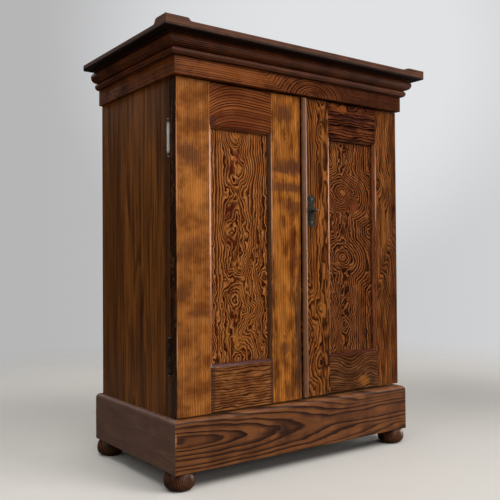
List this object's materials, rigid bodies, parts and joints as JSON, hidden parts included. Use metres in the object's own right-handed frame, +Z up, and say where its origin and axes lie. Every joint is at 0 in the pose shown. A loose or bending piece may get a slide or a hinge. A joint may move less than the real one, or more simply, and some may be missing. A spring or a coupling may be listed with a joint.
{
  "type": "two-door cupboard",
  "caption": "Low pine cupboard on bun feet with framed and panelled doors, a moulded cornice, a plinth and shelves inside.",
  "frame": {"origin": "on the floor, under the middle of the whole cupboard's box", "axes": "+Z up, the doors face -Y, +X is to the right for someone who faces the doors"},
  "size_m": [0.752, 0.43, 0.95],
  "materials": {
    "stained_pine": "dark stain under worn satin shellac",
    "plain_pine": "planed, unfinished and darkened with age",
    "aged_iron": "dark patina",
    "worn_steel": "worn, dull"
  },
  "bodies": {
    "carcass": {"back_board_left": "plain_pine", "back_board_middle": "plain_pine", "back_board_right": "plain_pine", "bolt_keeps": "aged_iron", "cap_board": "stained_pine", "cap_edge_front": "stained_pine", "cap_edge_left": "stained_pine", "cap_edge_right": "stained_pine", "carcass_bottom": "plain_pine", "carcass_side_left": "stained_pine", "carcass_side_right": "stained_pine", "carcass_top": "plain_pine", "cornice_back_rail": "plain_pine", "cornice_blocks": "plain_pine", "crown_front": "stained_pine", "crown_left": "stained_pine", "crown_right": "stained_pine", "foot_back_left": "stained_pine", "foot_back_right": "stained_pine", "foot_front_left": "stained_pine", "foot_front_right": "stained_pine", "frieze_front": "stained_pine", "frieze_left": "stained_pine", "frieze_right": "stained_pine", "hinge_frame_leaves": "aged_iron", "hinge_frame_screws": "worn_steel", "hinge_pins": "worn_steel", "plinth_back": "plain_pine", "plinth_corner_blocks": "plain_pine", "plinth_front": "stained_pine", "plinth_ledgers": "plain_pine", "plinth_side_left": "stained_pine", "plinth_side_right": "stained_pine", "shelf_cleats": "plain_pine", "shelf_lower": "plain_pine", "shelf_upper": "plain_pine"},
    "left_door": {"left_door_bottom_rail": "stained_pine", "left_door_hinge_leaves": "aged_iron", "left_door_hinge_screws": "worn_steel", "left_door_hinge_stile": "stained_pine", "left_door_meeting_stile": "stained_pine", "left_door_panel": "stained_pine", "left_door_top_rail": "stained_pine", "lock_keeper": "aged_iron", "bolt_guides": "aged_iron"},
    "right_door": {"right_door_bottom_rail": "stained_pine", "right_door_hinge_leaves": "aged_iron", "right_door_hinge_screws": "worn_steel", "right_door_hinge_stile": "stained_pine", "right_door_meeting_stile": "stained_pine", "right_door_panel": "stained_pine", "right_door_top_rail": "stained_pine", "meeting_bead": "stained_pine", "escutcheon": "aged_iron", "escutcheon_pins": "worn_steel", "lock_case": "aged_iron"},
    "upper_bolt": {"slide_bolt_upper": "aged_iron"},
    "lower_bolt": {"slide_bolt_lower": "aged_iron"},
    "lock_bolt": {"lock_bolt": "worn_steel"},
    "key": {"key": "worn_steel"}
  },
  "joints": [
    {"name": "left_door_swing", "type": "hinge", "parent": "carcass", "child": "left_door", "pos_m": [-0.327, -0.1355, 0.496], "axis": [0, 0, -1], "range_deg": [0, 175]},
    {"name": "right_door_swing", "type": "hinge", "parent": "carcass", "child": "right_door", "pos_m": [0.327, -0.1355, 0.4975], "axis": [0, 0, 1], "range_deg": [0, 175]},
    {"name": "upper_bolt_slide", "type": "slide", "parent": "left_door", "child": "upper_bolt", "axis": [0, 0, 1], "range_m": [0, 0.012]},
    {"name": "lower_bolt_slide", "type": "slide", "parent": "left_door", "child": "lower_bolt", "axis": [0, 0, -1], "range_m": [0, 0.012]},
    {"name": "key_turn", "type": "hinge", "parent": "right_door", "child": "key", "pos_m": [0.037, -0.163, 0.582], "axis": [0, 1, 0], "range_deg": [0, 180]},
    {"name": "lock_bolt_slide", "type": "slide", "parent": "right_door", "child": "lock_bolt", "axis": [-1, 0, 0], "range_m": [0, 0.012]}
  ],
  "couplings": [
    {"joint": "key_turn", "follows": "lock_bolt_slide", "rad_per_m": 261.79}
  ]
}
